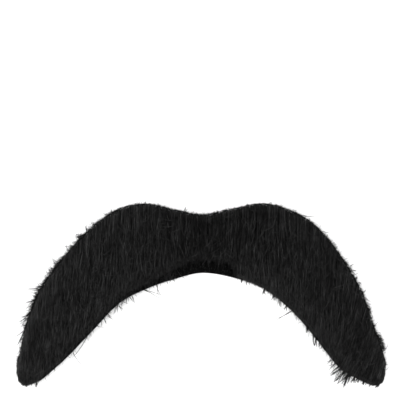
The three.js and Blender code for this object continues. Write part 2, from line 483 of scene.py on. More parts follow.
@dataclass(frozen=True)
class LinedTape:
    """Double-sided tape under its glassine release paper.

    The paper is smooth, faintly yellow and slightly glossy, with a cloudy fibre look. The tape above it shows as a
    whiter, matt edge.
    """

    paper: str = "#e4dcc4"
    cloud: str = "#f0ead8"
    foam: str = "#f2f1ec"
    liner_mm: float = 0.14
    cloud_mm: float = 1 / 0.42
    roughness: float = 0.38
    foam_roughness: float = 0.8
    bump_mm: float = 0.03
    bump_strength: float = 0.4

    def material(self) -> bpy.types.Material:
        """Builds the material: paper up to its thickness, then the tape.

        Returns:
            The material.
        """
        material, tree = new_material("glassine release paper on foam tape")
        place = add_node(tree, "ShaderNodeTexCoord").outputs["Object"]
        parts = add_node(tree, "ShaderNodeSeparateXYZ", {0: place})
        cloudy = {"Vector": place, "Scale": 1 / (self.cloud_mm * MM), "Detail": 6.0, "Roughness": 0.7}
        fibres = add_node(tree, "ShaderNodeTexNoise", cloudy).outputs["Fac"]
        shades = {"Factor": fibres, "A": linear(self.paper), "B": linear(self.cloud)}
        paper = add_node(tree, "ShaderNodeMix", shades, data_type="RGBA").outputs["Result"]
        levels = {0: parts.outputs["Z"], 1: self.liner_mm * MM}
        above = add_node(tree, "ShaderNodeMath", levels, operation="GREATER_THAN").outputs[0]
        layers = {"Factor": above, "A": paper, "B": linear(self.foam)}
        gloss = {"Value": above, "To Min": self.roughness, "To Max": self.foam_roughness}
        relief = {"Height": fibres, "Distance": self.bump_mm * MM, "Strength": self.bump_strength}
        surface(
            tree,
            {
                "Base Color": add_node(tree, "ShaderNodeMix", layers, data_type="RGBA").outputs["Result"],
                "Roughness": add_node(tree, "ShaderNodeMapRange", gloss).outputs["Result"],
                "Normal": add_node(tree, "ShaderNodeBump", relief).outputs["Normal"],
            },
        )
        return material


@dataclass(frozen=True)
class MattPaper:
    """The studio's pale paper floor: even, matt and nearly white."""

    colour: str = "#fafafa"
    roughness: float = 0.9

    def material(self) -> bpy.types.Material:
        """Builds the material.

        Returns:
            The material.
        """
        material, tree = new_material("matt studio paper")
        surface(tree, {"Base Color": linear(self.colour), "Roughness": self.roughness})
        return material


def mesh_object(name: str, places: np.ndarray, faces: list[np.ndarray], smooth: bool = True) -> bpy.types.Object:
    """Makes one object of a mesh, with its place in its mesh.

    Args:
        name: the piece's name.
        places: its vertices, in millimetres.
        faces: arrays of faces, each with one number of corners.
        smooth: whether it is shaded smooth.

    Returns:
        The object, in the scene.
    """
    corners = np.concatenate([part.ravel() for part in faces]).astype(np.int32)
    counts = np.concatenate([np.full(len(part), part.shape[1]) for part in faces]).astype(np.int32)
    starts = np.concatenate([[0], np.cumsum(counts)[:-1]]).astype(np.int32)
    mesh = bpy.data.meshes.new(name)
    mesh.vertices.add(len(places))
    mesh.vertices.foreach_set("co", (places * MM).astype(np.float32).ravel())
    mesh.loops.add(len(corners))
    mesh.loops.foreach_set("vertex_index", corners)
    mesh.polygons.add(len(counts))
    mesh.polygons.foreach_set("loop_start", starts)
    mesh.polygons.foreach_set("use_smooth", np.full(len(counts), smooth))
    mesh.update(calc_edges=True)
    mesh.validate()
    made = bpy.data.objects.new(name, mesh)
    bpy.context.scene.collection.objects.link(made)
    return made


def lofted(name: str, loops: np.ndarray) -> bpy.types.Object:
    """Joins closed loops into one skin and closes both ends with a fan to the end loop's middle.

    Args:
        name: the piece's name.
        loops: stations by points by 3, each loop turning from +Y over +Z to -Y as the stations go towards +X.

    Returns:
        The object.
    """
    stations, points = loops.shape[:2]
    ring = np.arange(points)
    following = (ring + 1) % points
    start = np.arange(stations - 1)[:, None] * points
    skin = np.stack([start + ring, start + following, start + points + following, start + points + ring], -1)
    poles = np.stack([loops[0].mean(0), loops[-1].mean(0)])
    first, last = stations * points, stations * points + 1
    near = np.stack([following, ring, np.full(points, first)], -1)
    end = (stations - 1) * points
    far = np.stack([end + ring, end + following, np.full(points, last)], -1)
    places = np.concatenate([loops.reshape(-1, 3), poles])
    return mesh_object(name, places, [skin.reshape(-1, 4), near, far])


@dataclass
class AdhesiveStrip:
    """The strip of lined tape behind the moustache's middle: a long slab with round corners and soft edges."""

    form: Form
    finish: LinedTape = field(default_factory=LinedTape)
    edge_mm: float = 0.12
    edge_steps: int = 4
    corner_steps: int = 10
    straight_steps: int = 24

    def build(self) -> bpy.types.Object:
        """Lays a rounded rectangle along X, narrower where the strip's corners turn.

        The half width at x is w - r + sqrt(r^2 - (|x| - (l - r))^2) within a corner of radius r. Each long edge is
        softened by quarter circles of radius edge_mm, above and below.

        Returns:
            The strip.
        """
        f, soft = self.form, self.edge_mm
        half_length, half_width, corner = f.strip_length / 2, f.strip_width / 2, f.strip_corner
        turn = np.linspace(0, math.pi / 2, self.corner_steps)
        bend = half_length - corner + corner * np.sin(turn)
        straight = np.linspace(corner - half_length, half_length - corner, self.straight_steps)
        x = np.concatenate([-bend[::-1], straight[1:-1], bend])
        past = np.clip(np.abs(x) - (half_length - corner), 0, corner)
        wide = half_width - corner + np.sqrt(np.maximum(corner**2 - past**2, 0))
        quarter = np.linspace(0, math.pi / 2, self.edge_steps)
        inset = soft * (1 - np.cos(quarter))
        rise = f.strip_thickness / 2 - soft + soft * np.sin(quarter)
        signs = np.repeat([1, -1, -1, 1], len(quarter))
        insets = np.concatenate([inset, inset[::-1], inset, inset[::-1]])
        rises = np.concatenate([rise, rise[::-1], -rise, -rise[::-1]])
        y = signs * (wide[:, None] - insets)
        z = np.broadcast_to(f.strip_thickness / 2 + rises, y.shape)
        return lofted("release_liner_strip", np.stack([np.broadcast_to(x[:, None], y.shape), y, z], -1))

    def dress(self) -> bpy.types.Object:
        """Builds the strip, gives it its finish and sets it on the frame.

        Returns:
            The strip.
        """
        strip = self.build()
        strip.data.materials.append(self.finish.material())
        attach(strip, "root")
        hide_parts("adhesive_strip")
        return strip


@dataclass
class BackingCloth:
    """The knitted ground cloth, cut to the moustache's outline and draped over the strip."""

    form: Form
    finish: KnittedPolyester = field(default_factory=KnittedPolyester)
    columns: int = 260
    rows: int = 14
    rim_steps: int = 5

    def build(self) -> bpy.types.Object:
        """Carries a flat loop with round rims along the moustache.

        Stations crowd to the tips as the sine of an even angle. Between the rims the loop's two faces are straight in
        y, and each rim is half a circle of the cloth's thickness, narrowed to nothing at the tips.

        Returns:
            The cloth.
        """
        f = self.form
        angle = np.linspace(-math.pi / 2, math.pi / 2, self.columns)[1:-1]
        across = np.sin(angle)
        x = (f.half - f.roll) * across
        upper = f.upper(across * f.half) - f.roll * np.cos(angle)
        lower = f.lower(across * f.half)
        half = f.cloth / 2
        rim = np.minimum(half, (upper - lower) / 4)
        share = np.linspace(0, 1, self.rows)
        turn = np.linspace(0, math.pi, self.rim_steps + 2)[1:-1]
        low, high = (lower + rim)[:, None], (upper - rim)[:, None]
        top_y = high + (low - high) * share
        bottom_y = low + (high - low) * share
        lower_rim_y = low - rim[:, None] * np.sin(turn)
        upper_rim_y = high + rim[:, None] * np.sin(turn)
        y = np.concatenate([top_y, lower_rim_y, bottom_y, upper_rim_y], 1)
        one = np.ones((len(x), 1))
        z = np.concatenate(
            [
                one * np.full(self.rows, half),
                one * (half * np.cos(turn)),
                one * np.full(self.rows, -half),
                one * (-half * np.cos(turn)),
            ],
            1,
        )
        z = z + half + f.rest(x)[:, None]
        loops = np.stack([x[:, None] * np.ones_like(y), y, z], -1)
        return lofted("knitted_backing_cloth", loops)

    def flat_area(self) -> float:
        """The cut's flat area in square metres: the sum of its columns' heights."""
        x = np.linspace(-self.form.half, self.form.half, 2001)
        return float((self.form.upper(x) - self.form.lower(x)).mean()) * self.form.span * MM * MM

    def dress(self, strip: bpy.types.Object) -> bpy.types.Object:
        """Args:
            strip: the piece that it lies on; not used.

        Returns:
            The cloth.
        """
        cloth = self.build()
        cloth.data.materials.append(self.finish.material())
        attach(cloth, "root")
        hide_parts("backing")
        self.flat_area()
        return cloth


@dataclass
class Strands:
    """Many hairs as arrays, in millimetres.

    line is hairs by stations by 3, side is a level unit vector across each hair, radius and light are hairs by
    stations, and tone and roll are one number for each hair. light is the painted light: how much of its tone a hair
    shows at a place.
    """

    line: np.ndarray
    side: np.ndarray
    radius: np.ndarray
    light: np.ndarray
    tone: np.ndarray
    roll: np.ndarray
    sides: int = 3

    TONES = (0.02, 1.7)
    PARTS = ("line", "side", "radius", "light", "tone", "roll")

    def part(self, chosen: np.ndarray) -> "Strands":
        """The chosen hairs alone."""
        return Strands(*(getattr(self, name)[chosen] for name in self.PARTS), self.sides)

    def joined(self, other: "Strands") -> "Strands":
        """These hairs and another lot with as many stations."""
        pairs = ((getattr(self, name), getattr(other, name)) for name in self.PARTS)
        return Strands(*(np.concatenate(pair) for pair in pairs), self.sides)

    def mesh(self, name: str) -> bpy.types.Object:
        """Makes closed tapering tubes of the hairs.

        A ring of a hair is its centre plus radius times the cosine and sine of even angles along two vectors square to
        its line. The rings are joined by four-sided faces, the root is closed by one face and the end runs to a point.

        Args:
            name: the piece's name.

        Returns:
            The object, with each vertex's tone and painted light, and a map that gives each hair a cell of its own.
        """
        hairs, stations = self.radius.shape
        sides, rings = self.sides, stations - 1
        tangent = np.gradient(self.line, axis=1)
        tangent /= np.linalg.norm(tangent, axis=2, keepdims=True)
        across = self.side[:, None, :] - tangent * (tangent * self.side[:, None, :]).sum(2, keepdims=True)
        across /= np.linalg.norm(across, axis=2, keepdims=True)
        lift = np.cross(tangent, across)
        turn = self.roll[:, None] + np.arange(sides) * 2 * math.pi / sides
        cos, sin = np.cos(turn)[:, None, :, None], np.sin(turn)[:, None, :, None]
        ring = across[:, :rings, None] * cos + lift[:, :rings, None] * sin
        ring = self.line[:, :rings, None] + ring * self.radius[:, :rings, None, None]
        places = np.concatenate([ring.reshape(hairs, -1, 3), self.line[:, -1:]], 1)
        size = rings * sides + 1
        start = np.arange(hairs)[:, None, None] * size
        level = np.arange(rings - 1)[:, None] * sides
        this, following = np.arange(sides), (np.arange(sides) + 1) % sides
        walls = np.stack([level + this, level + following, level + sides + following, level + sides + this], -1)
        walls = (start[..., None] + walls).reshape(-1, 4)
        last = (rings - 1) * sides
        tips = np.stack([last + this, last + following, np.full(sides, size - 1)], -1)
        tips = (start + tips).reshape(-1, 3)
        caps = (start[:, 0] + this[::-1]).reshape(-1, sides)
        made = mesh_object(name, places.reshape(-1, 3), [walls, tips, caps])
        self._mark(made.data, hairs, rings)
        self._map(made.data, hairs, rings)
        return made

    def _mark(self, mesh: bpy.types.Mesh, hairs: int, rings: int) -> None:
        """Keeps each hair's tone and the painted light at each of its vertices on the mesh.

        Args:
            mesh: the hairs' mesh.
            hairs: how many there are.
            rings: how many rings each has.
        """
        light = np.concatenate([np.repeat(self.light[:, :rings], self.sides, axis=1), self.light[:, rings:]], 1)
        tone = np.broadcast_to(np.clip(self.tone, *self.TONES)[:, None], light.shape)
        values = {"tone": tone.ravel(), "light": light.ravel()}
        for name, value in values.items():
            layer = mesh.attributes.new(name, "FLOAT", "POINT")
            layer.data.foreach_set("value", value.astype(np.float32))

    def _map(self, mesh: bpy.types.Mesh, hairs: int, rings: int) -> None:
        """Gives each hair one upright cell of a square map, its sides next to each other.

        Args:
            mesh: the hairs' mesh.
            hairs: how many there are.
            rings: how many rings each has.
        """
        cells = math.ceil(math.sqrt(hairs))
        hair = np.arange(hairs)
        corner = np.stack([hair % cells, hair // cells], -1)[:, None, :]
        side = np.arange(self.sides)
        level = np.arange(rings - 1)[:, None]
        left, right = side / self.sides, (side + 1) / self.sides
        low, high = level / rings, (level + 1) / rings

        def spot(u: np.ndarray, v: np.ndarray) -> np.ndarray:
            """Places in a cell, with a margin round them."""
            return 0.08 + 0.84 * np.stack(np.broadcast_arrays(u, v), -1)

        walls = np.stack([spot(left, low), spot(right, low), spot(right, high), spot(left, high)], -2).reshape(-1, 2)
        top = (rings - 1) / rings
        tips = np.stack([spot(left, top), spot(right, top), spot((left + right) / 2, 1.0)], -2).reshape(-1, 2)
        caps = spot(np.array([1.0, 0.5, 0.0])[: self.sides], np.array([0.0, 0.02, 0.0])[: self.sides])
        places = [((corner + part[None]) / cells).reshape(-1, 2) for part in (walls, tips, caps)]
        layer = mesh.uv_layers.new(name="OFBake")
        layer.uv.foreach_set("vector", np.concatenate(places).astype(np.float32).ravel())


class Section(Enum):
    """The stretches of the moustache, from the left tip to the right one, that its hair is parted into."""

    LEFT_TIP = "hair_left_tip"
    LEFT_WING = "hair_left_wing"
    MIDDLE = "hair_middle"
    RIGHT_WING = "hair_right_wing"
    RIGHT_TIP = "hair_right_tip"


@dataclass
class Growth:
    """How each of many hairs grows, one number for each: its root, heading, length and waviness."""

    x: np.ndarray
    y: np.ndarray
    lean: np.ndarray
    curl: np.ndarray
    length: np.ndarray
    wave: np.ndarray
    phase: np.ndarray
    wavelength: float = 9.0

    def path(self, share: np.ndarray, slow: np.ndarray) -> tuple[np.ndarray, np.ndarray]:
        """Where each hair has got to, seen from above.

        The distance run is length times share^slow, slow at the root where the hair still rises. The heading turns by
        curl for each millimetre, and a sine wave sways it to its sides.

        Args:
            share: hairs by stations, from 0 at the root to 1 at the end.
            slow: the power for each hair.

        Returns:
            The x and y of each station.
        """
        run = self.length[:, None] * share ** slow[:, None]
        heading = self.lean[:, None] + self.curl[:, None] * run / 2
        turn = 2 * math.pi * run / self.wavelength + self.phase[:, None]
        sway = self.wave[:, None] * (np.sin(turn) - np.sin(self.phase)[:, None]) * np.sqrt(share)
        x = self.x[:, None] + run * np.sin(heading) + sway * np.cos(self.lean)[:, None]
        y = self.y[:, None] - run * np.cos(heading) + sway * np.sin(self.lean)[:, None]
        return x, y


@dataclass
class Clumps:
    """The pile's loose clumps: how each grows, and its own tone, lift, trim and swell."""

    growth: Growth
    tone: np.ndarray
    lift: np.ndarray
    trim: np.ndarray
    swell: np.ndarray


@dataclass
class Roots:
    """Where hairs are rooted.

    nx and ny are the near edge's outward normal, inside is the distance in from it and sunk the depth below the
    cloth's top.
    """

    x: np.ndarray
    y: np.ndarray
    nx: np.ndarray
    ny: np.ndarray
    inside: np.ndarray
    sunk: np.ndarray


@dataclass
class Courses:
    """The ways that hairs take, seen from above: their own, their clumps' and a swell out over the edge."""

    own: Growth
    clump: Growth
    slow: np.ndarray
    swell: np.ndarray
    roots: Roots
    pull: float
    crest: float

    def at(self, share: np.ndarray) -> tuple[np.ndarray, np.ndarray]:
        """Where the hairs have got to.

        A hair is drawn by pull times share^1.2 from its own path towards its clump's, and pushed out over the edge by
        swell times s exp(1 - s), where s is share over crest.

        Args:
            share: hairs by stations, from 0 at the root to 1 at the end.

        Returns:
            The x and y of each station.
        """
        mine, theirs = self.own.path(share, self.slow), self.clump.path(share, self.slow)
        drawn = self.pull * share**1.2
        puff = self.swell[:, None] * share / self.crest * np.exp(1 - share / self.crest)
        normal = (self.roots.nx, self.roots.ny)
        return tuple(a + drawn * (b - a) + puff * n[:, None] for a, b, n in zip(mine, theirs, normal))


@dataclass
class CombedPile:
    """The fur's pile: hairs rooted all over the cloth, combed down in loose clumps and trimmed at the lower edge."""

    form: Form
    finish: ModacrylicFibre = field(default_factory=ModacrylicFibre)
    hairs: int = 24350
    rim_hairs: int = 4300
    tip_hairs: int = 500
    clumps: int = 5200
    wisps: int = 620
    pile_mm: float = 13.0
    radius_mm: float = 0.07
    pull: float = 0.3
    shiny: float = 0.12
    shade: float = 0.4
    shade_mm: float = 4.5
    rim_light: float = 1.1
    rim_light_mm: float = 0.9
    end_light: float = 1.3
    end_light_mm: float = 2.2
    rim_mm: float = 1.6
    bevel_mm: float = 0.8
    crest: float = 0.15
    trim_steps: int = 32
    shortest_mm: float = 0.7
    stations: tuple[float, ...] = (0.0, 0.12, 0.3, 0.52, 0.76, 1.0)
    wisp_deg: float = 1.6
    clump_deg: float = 1.0
    hair_deg: float = 2.6
    curl_deg: float = 0.7
    shared_curl: float = 0.6
    wave_mm: float = 0.09
    lengths: tuple[float, float] = (0.7, 1.08)
    edge_lengths: tuple[float, float] = (0.3, 1.0)
    wisp_lift: float = 0.025
    clump_lift: float = 0.04
    shiny_lift: float = 0.03
    layers: tuple[float, float] = (0.8, 1.0)
    spike_share: float = 0.25
    spike_mm: float = 1.1
    short_share: float = 0.04
    short_mm: float = 1.2
    clump_trim: float = 0.25
    hair_trim: float = 0.2
    clump_swell: float = 0.16
    hair_swell: tuple[float, float] = (-0.2, 0.2)
    slow: tuple[float, float] = (1.25, 0.75)
    steep: tuple[float, float] = (2.2, 2.0)
    tip_turns: tuple[float, float] = (1.15, 1.55)
    most_tilt: float = 1.7
    sunk_mm: float = 0.1
    past_tip_mm: float = 0.35
    thicknesses: tuple[float, float] = (0.75, 1.15)
    shiny_thick: float = 1.25
    tones: tuple[float, float] = (1.25, 0.76)
    clump_tone: float = 0.07
    painted_glint_tone: float = 0.6
    down_weight: float = 0.6
    batches: int = 40
    seed: int = 7

    def scattered(self, count: int, turn: float) -> tuple[np.ndarray, np.ndarray]:
        """Even but irregular places all over the cloth.

        Two multiples of irrational numbers, each less its whole part, fill a square evenly. The first is spread over x
        in step with the height of the cloth there, and the second over that height.

        Args:
            count: how many.
            turn: a start that sets one lot apart from another.

        Returns:
            Their x and y.
        """
        f = self.form
        grid = np.linspace(-f.half, f.half, 1201)[1:-1]
        high, low = f.upper(grid) - f.roll * self._steep(grid), f.hem(grid)
        total = np.cumsum(np.maximum(high - low, 0.0))
        index = np.arange(count)
        first = (turn + index * EVEN_STEPS[0]) % 1
        second = (turn + index * EVEN_STEPS[1]) % 1
        x = np.interp(first * total[-1], total, grid)
        high, low = f.upper(x) - f.roll * self._steep(x), f.hem(x)
        return x, low + (high - low) * second

    def _steep(self, x: np.ndarray) -> np.ndarray:
        """How much longer the upper edge is than its run along X."""
        return 1 / self.form.outward(x)[1]

    def growth(self, x: np.ndarray, y: np.ndarray, rng: np.random.Generator, spread: float) -> Growth:
        """Hairs of the pile from their roots.

        Args:
            x: the roots' x.
            y: the roots' y.
            rng: where chance comes from.
            spread: how far headings stray from the comb, in degrees.

        Returns:
            How they grow.
        """
        count = len(x)
        lean = self.form.lean(x, y) + np.radians(spread) * rng.standard_normal(count)
        curl = np.radians(rng.normal(0, self.curl_deg, count))
        length = self.pile_mm * rng.uniform(*self.lengths, count)
        wave = np.abs(rng.normal(0, self.wave_mm, count))
        return Growth(x, y, lean, curl, length, wave, rng.uniform(0, 2 * math.pi, count))

    def nearest(self, x: np.ndarray, y: np.ndarray, cx: np.ndarray, cy: np.ndarray) -> np.ndarray:
        """The clump whose root lies nearest each hair's, with distances down the moustache counted for less.

        Args:
            x: the hairs' x.
            y: the hairs' y.
            cx: the clumps' x.
            cy: the clumps' y.

        Returns:
            The clump's number for each hair.
        """
        found = np.empty(len(x), int)
        for chosen in np.array_split(np.arange(len(x)), self.batches):
            far = (x[chosen, None] - cx) ** 2 + (self.down_weight * (y[chosen, None] - cy)) ** 2
            found[chosen] = far.argmin(1)
        return found

    def gather(self, rng: np.random.Generator) -> Clumps:
        """Works out the clumps, which lean and lift together in wider wisps, and some of which are cut short.

        Args:
            rng: where chance comes from.

        Returns:
            The clumps.
        """
        count = self.clumps
        wisp_lean, wisp_lift = rng.normal(0, self.wisp_deg, self.wisps), rng.normal(0, self.wisp_lift, self.wisps)
        x, y = self.scattered(count, 0.31)
        wisp = self.nearest(x, y, *self.scattered(self.wisps, 0.63))
        growth = self.growth(x, y, rng, self.clump_deg)
        growth.lean += np.radians(wisp_lean[wisp])
        tone, lift = rng.standard_normal(count), wisp_lift[wisp] + rng.normal(0, self.clump_lift, count)
        spikes = np.where(rng.random(count) < self.spike_share, rng.exponential(self.spike_mm, count), 0.0)
        trim = self.clump_trim * rng.standard_normal(count) - spikes
        return Clumps(growth, tone, lift, trim, rng.normal(0, self.clump_swell, count))

    def rooted(self, rng: np.random.Generator) -> Roots:
        """Places the roots: all over the cloth, round its upper edge and under the tips.

        The edges' hairs grow from the half circle of the cloth's side, a chance turn of tilt away from its top.

        Args:
            rng: where chance comes from.

        Returns:
            The roots, with the edges' last.
        """
        f = self.form
        x, y = self.scattered(self.hairs, 0.0)
        nx, ny = f.outward(x)
        rim_x = f.half * np.sin(np.linspace(-RIM_TURN, RIM_TURN, self.rim_hairs))
        tip_turn = np.linspace(*self.tip_turns, self.tip_hairs // 2)
        tip_x = f.half * np.sin(np.concatenate([-tip_turn, tip_turn]))
        edge_nx, edge_ny = (np.concatenate(pair) for pair in zip(f.outward(rim_x), f.downward(tip_x)))
        tilt = rng.uniform(0.0, self.most_tilt, len(edge_nx))
        inward = f.roll + f.cloth / 2 * (1 - np.sin(tilt))
        edge_x = np.concatenate([rim_x, tip_x]) - inward * edge_nx
        edge_y = np.concatenate([f.upper(rim_x), f.lower(tip_x)]) - inward * edge_ny
        return Roots(
            np.concatenate([x, edge_x]),
            np.concatenate([y, edge_y]),
            np.concatenate([nx, edge_nx]),
            np.concatenate([ny, edge_ny]),
            np.concatenate([np.maximum((f.upper(x) - y) * ny, 0), inward]),
            self.sunk_mm + np.concatenate([np.zeros(self.hairs), f.cloth / 2 * (1 - np.cos(tilt))]),
        )

    def cut(self, courses: Courses, steep: np.ndarray, ragged: np.ndarray) -> np.ndarray:
        """Finds where each hair's way crosses the trimmed edge, the upper layers a little sooner.

        Args:
            courses: the hairs' ways.
            steep: the power of each one's rise, as a column.
            ragged: how far off the comb's trim each is cut.

        Returns:
            The share of its way at which each ends.
        """
        f, steps = self.form, self.trim_steps
        even = np.broadcast_to(np.linspace(0, 1, steps + 1), (len(ragged), steps + 1))
        x, y = courses.at(even)
        held = f.held(x)
        bevel = self.bevel_mm * (0.55 - (1 - even) ** steep)
        left = y - f.ends(held) - f.comb("ragged", held) * ragged[:, None] - bevel
        left = np.minimum(left, f.half + self.past_tip_mm - np.abs(x))
        out = left < 0
        first = np.where(out.any(1), out.argmax(1), steps)
        row = np.arange(len(ragged))
        before, after = left[row, np.maximum(first - 1, 0)], left[row, first]
        crossed = (first - 1 + before / np.maximum(before - after, 1e-9)) / steps
        return np.clip(np.where(out.any(1), crossed, 1.0), 0, 1)

    def grow(self) -> Strands:
        """Works out every hair of the pile.

        Each hair runs along its own way, drawn towards its clump's. It rises from the cloth to the hair's surface as
        1 - (1 - share)^steep, so that its last half lies in view. At the upper edge it stands up more steeply and
        first swells outwards, and so rolls over the cloth's edge. It ends where it crosses the trimmed edge.

        Returns:
            The hairs, in order of x.
        """
        f, rng = self.form, np.random.default_rng(self.seed)
        clumps = self.gather(rng)
        centre, roots = clumps.growth, self.rooted(rng)
        x, y, count = roots.x, roots.y, len(roots.x)
        clump = self.nearest(x, y, centre.x, centre.y)
        own = self.growth(x, y, rng, self.hair_deg)
        own.length[self.hairs :] *= rng.uniform(*self.edge_lengths, count - self.hairs)
        own.lean += (centre.lean - f.lean(centre.x, centre.y))[clump]
        own.curl = (1 - self.shared_curl) * own.curl + self.shared_curl * centre.curl[clump]
        names = ("x", "y", "lean", "curl", "length", "wave", "phase")
        middle = Growth(*(getattr(centre, name)[clump] for name in names))
        near = np.exp(-np.maximum(roots.inside - f.roll, 0) / self.rim_mm)
        swell = (roots.inside + rng.normal(*self.hair_swell, count) + clumps.swell[clump]) * near
        ragged = self.hair_trim * rng.standard_normal(count) + clumps.trim[clump]
        ragged -= np.where(rng.random(count) < self.short_share, rng.exponential(self.short_mm, count), 0.0)
        courses = Courses(own, middle, self.slow[0] + self.slow[1] * near, swell, roots, self.pull, self.crest)
        steep = (self.steep[0] + self.steep[1] * near)[:, None]
        end = self.cut(courses, steep, ragged)
        at = end[:, None] * np.array(self.stations)
        px, py = courses.at(at)
        held = f.held(px)
        shiny = rng.random(count) < self.shiny
        layer = rng.uniform(*self.layers, count) + clumps.lift[clump] + self.shiny_lift * shiny
        root = f.cloth_top(held) - roots.sunk[:, None] * (1 - np.minimum(at * 12, 1))
        pz = root + (f.fit_gap + f.depth(held, py) * layer[:, None]) * (1 - (1 - at) ** steep)
        line = np.stack([px, py, pz], -1)
        side = np.stack([np.cos(own.lean), np.sin(own.lean), np.zeros(count)], -1)
        taper = np.interp(at / np.maximum(end, 0.4)[:, None], [0, 0.3, 0.75, 1.0], [0.8, 1.0, 0.9, 0.6])
        thick = rng.uniform(*self.thicknesses, count) * np.where(shiny, self.shiny_thick, 1.0)
        radius = self.radius_mm * thick[:, None] * taper
        # Each hair's own tone, drawn by chance, times the comb's painted sheen for its stretch.
        tone = f.comb("tone", x) * rng.gamma(*self.tones, count)
        # Clumps differ in tone by chance; the shiny hairs are painted paler, a painted glint.
        tone = tone + self.clump_tone * clumps.tone[clump] + self.painted_glint_tone * shiny
        # Painted shade: hairs rooted near the upper edge are painted darker, by an exponential of the distance in.
        tone *= 1 - self.shade * np.exp(-roots.inside / self.shade_mm)
        strands = Strands(line, side, radius, self.painted_light(px, py, at), tone, rng.uniform(0, 2 * math.pi, count))
        kept = np.flatnonzero(end * own.length > self.shortest_mm)
        return strands.part(kept[np.argsort(line[kept, 0, 0], kind="stable")])

    def painted_light(self, x: np.ndarray, y: np.ndarray, share: np.ndarray) -> np.ndarray:
        """The painted light that places on the pile's hairs get, which their colour takes up.

        It grows evenly from a hair's root to its end, so the roots get painted shade. Round the upper edge the hairs
        turn over and show their sides, and at the lower edge of the wings their cut ends stand clear of each other, so
        both get painted highlights there, by exponentials of the distance from the edge.

        Args:
            x: hairs by stations.
            y: hairs by stations.
            share: the share of the way along each hair.

        Returns:
            The painted light at each place.
        """
        f = self.form
        held = f.held(x)
        under = np.maximum(f.upper(held) - y, 0) * f.outward(held)[1]
        over = np.maximum(y - f.ends(held), 0) * -f.downward(held)[1]
        covered = 1 - np.clip(f.comb("bare", held) / 0.2, 0, 1)
        rim = self.rim_light * np.exp(-under / self.rim_light_mm)
        return 0.1 + 0.9 * share + rim + self.end_light * covered * np.exp(-over / self.end_light_mm)

    def dress(self) -> list[bpy.types.Object]:
        """Parts the hair into its sections, each as many hairs, and sets them on the frame.

        Returns:
            The five pieces.
        """
        strands, material, made = self.grow(), self.finish.material(), []
        order = np.arange(len(strands.tone))
        for section, chosen in zip(Section, np.array_split(order, len(Section))):
            piece = strands.part(chosen).mesh(section.value)
            piece.data.materials.append(material)
            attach(piece, "root")
            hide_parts("hair_pile")
            made.append(piece)
        return made


@dataclass
class Undercoat:
    """The pile's dense inside, seen only as darkness between the hairs: a body under the combed surface."""

    form: Form
    # A darker copy of the fibre: painted shade for the pile's inside.
    finish: ModacrylicFibre = field(default_factory=lambda: ModacrylicFibre(dark="#050505", pale="#0c0c0c"))
    columns: int = 240
    rows: int = 26
    fullness: float = 0.62
    inset_mm: float = 0.9
    slope_mm: float = 7.0
    furrow_mm: float = 1.7
    furrow: float = 0.08

    def build(self) -> bpy.types.Object:
        """Carries a loop along the moustache whose top follows the hair's depth, furrowed along the comb.

        Its top is fullness times the depth over the cloth, less a sine of furrows furrow_mm wide. It climbs
        from the upper edge as a smooth step slope_mm wide and falls to the cloth at the lower one.

        Returns:
            The body, with the tone and share that its finish reads.
        """
        f = self.form
        angle = np.linspace(-1.5, 1.5, self.columns)
        x = (f.half - self.inset_mm) * np.sin(angle)
        high = f.upper(x) - f.roll - self.inset_mm * np.cos(angle)
        low = np.minimum(f.hem(x) + self.inset_mm * np.cos(angle), high - 0.2)
        share = np.linspace(0, 1, self.rows)
        y = high[:, None] + (low - high)[:, None] * share
        wide = x[:, None] + 0 * y
        combed = wide - y * np.tan(np.radians(f.comb("lean", x)))[:, None]
        furrow = self.furrow * np.sin(2 * math.pi * combed / self.furrow_mm + 0.9 * y)
        climb = np.clip((high[:, None] - y) / self.slope_mm, 0, 1)
        shape = smooth_step(climb) * np.sqrt(np.minimum(1, (1 - share) * 7))
        top = 0.05 + (f.fit_gap + f.depth(wide, y)) * self.fullness * (1 - furrow) * shape
        floor = f.cloth_top(x)[:, None] + 0.05
        upper = np.stack([wide, y, floor + top], -1)
        foot = np.stack([wide[:, -1:], low[:, None], floor], -1)
        head = np.stack([wide[:, :1], high[:, None], floor], -1)
        made = lofted("undercoat", np.concatenate([upper, foot, head], 1))
        # A fixed tone, and a fixed painted light of one half.
        for name, value in {"tone": 0.5, "light": 0.5}.items():
            layer = made.data.attributes.new(name, "FLOAT", "POINT")
            layer.data.foreach_set("value", np.full(len(made.data.vertices), value, np.float32))
        return made

    def dress(self) -> bpy.types.Object:
        """Builds the body, gives it its finish and sets it on the frame.

        Returns:
            The body.
        """
        body = self.build()
        body.data.materials.append(self.finish.material())
        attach(body, "root")
        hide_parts("hair_pile")
        return body


class TuftRow(NamedTuple):
    """A tuft that stands out of the moustache.

    across and down place it, heading is in degrees from straight down towards +X, and length and spread are in mm
    and degrees.
    """

    across: float
    down: float
    heading: float
    length: float
    spread: float
    hairs: int


